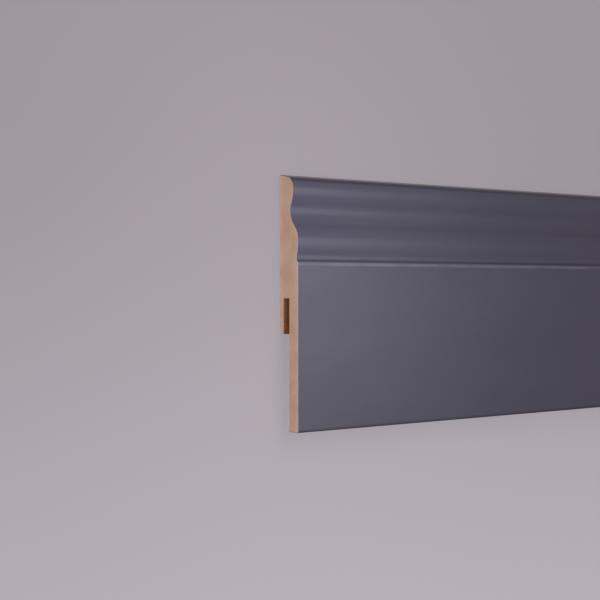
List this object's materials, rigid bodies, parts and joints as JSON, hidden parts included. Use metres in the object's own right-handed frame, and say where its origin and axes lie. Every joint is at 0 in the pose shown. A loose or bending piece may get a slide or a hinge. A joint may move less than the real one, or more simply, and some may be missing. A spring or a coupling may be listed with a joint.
{
  "type": "skirting board length",
  "caption": "Length of moulded skirting board, finished on its face and raw on its back, with a cable rebate and a clip groove behind the foot.",
  "frame": {"origin": "middle of the back face's footprint: half way along the board, half way up its height, on the plane of the back", "axes": "+X along the board, +Y from the foot edge to the top edge, +Z from the back to the finished face"},
  "size_m": [2.4, 0.15, 0.018],
  "materials": {
    "finished_board": "satin anthracite lacquer on the moulded face, top edge and foot edge; raw pale brown fibreboard on the sawn ends, the back, the rebate and the groove"
  },
  "bodies": {
    "root": {"skirting_board": "finished_board"}
  },
  "joints": []
}
